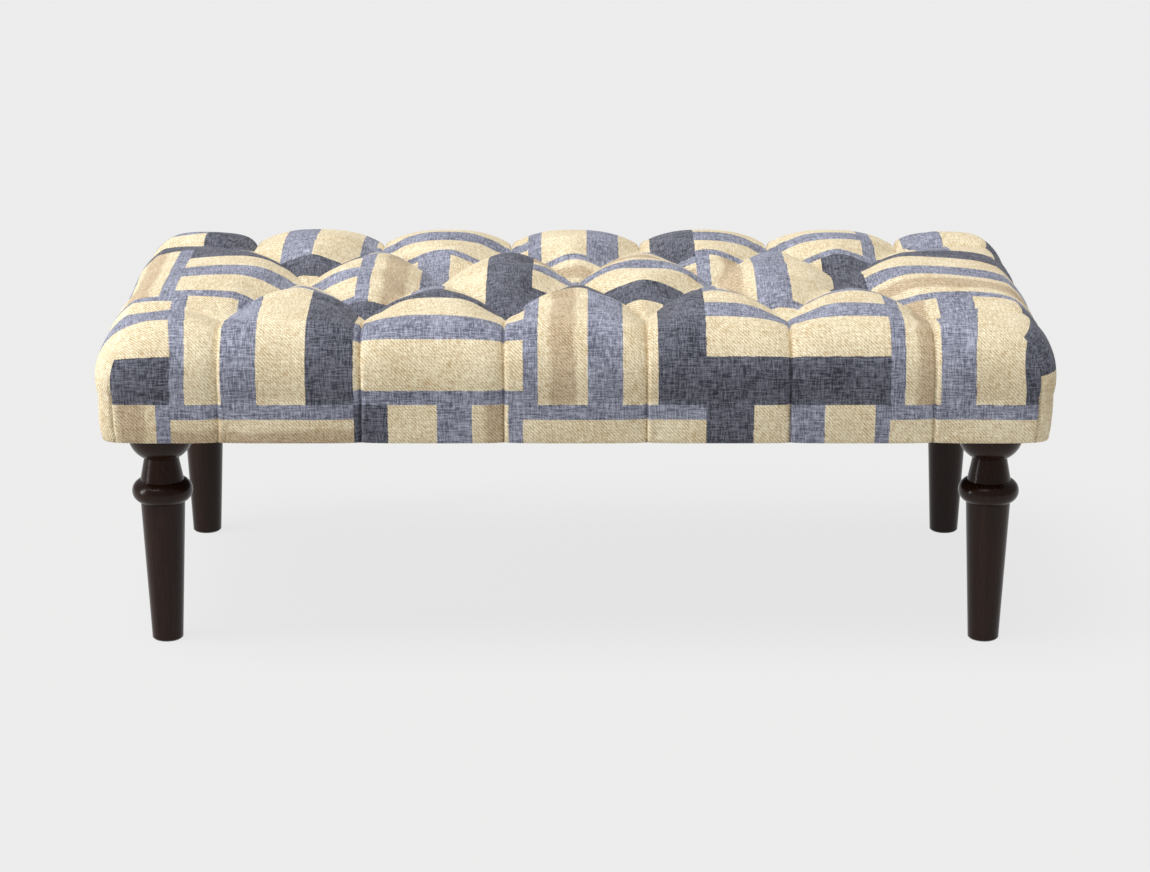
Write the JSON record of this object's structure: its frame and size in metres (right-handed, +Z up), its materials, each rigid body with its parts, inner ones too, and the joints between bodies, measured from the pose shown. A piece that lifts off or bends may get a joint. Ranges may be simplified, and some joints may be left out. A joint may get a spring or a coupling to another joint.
{
  "type": "tufted footstool",
  "caption": "Bench-size upholstered footstool with a diamond-tufted, pleated fabric seat over a timber box frame, on turned espresso legs that screw in",
  "frame": {"origin": "on the floor, under the middle of the seat", "axes": "+X along the seat to the viewer's right, +Y from the front face to the rear, +Z up"},
  "size_m": [1.219, 0.6123, 0.4517],
  "materials": {
    "espresso_wood": "satin espresso lacquer",
    "pine": "planed, raw",
    "plywood": "sanded, raw",
    "zinc_steel": "zinc plated",
    "washer_plastic": "matt",
    "twine": "waxed",
    "foam": "open cell foam",
    "batting": "loose polyester fibre",
    "cover_fabric": "matt linen weave",
    "dust_cloth": "matt non-woven"
  },
  "bodies": {
    "root": {"leg_front_left": "espresso_wood", "corner_block_front_left": "pine", "leg_front_right": "espresso_wood", "corner_block_front_right": "pine", "leg_rear_left": "espresso_wood", "corner_block_rear_left": "pine", "leg_rear_right": "espresso_wood", "corner_block_rear_right": "pine", "front_rail": "pine", "rear_rail": "pine", "left_rail": "pine", "right_rail": "pine", "left_cross_rail": "pine", "right_cross_rail": "pine", "seat_deck": "plywood", "hanger_bolts": "zinc_steel", "tee_nuts": "zinc_steel", "rail_screws": "zinc_steel", "corner_block_screws": "zinc_steel", "deck_screws": "zinc_steel", "cover_staples": "zinc_steel", "dust_cover_staples": "zinc_steel", "tie_washers": "washer_plastic", "tuft_ties": "twine", "seat_foam": "foam", "batting_wrap": "batting", "seat_cover": "cover_fabric", "dust_cover": "dust_cloth"}
  },
  "joints": []
}
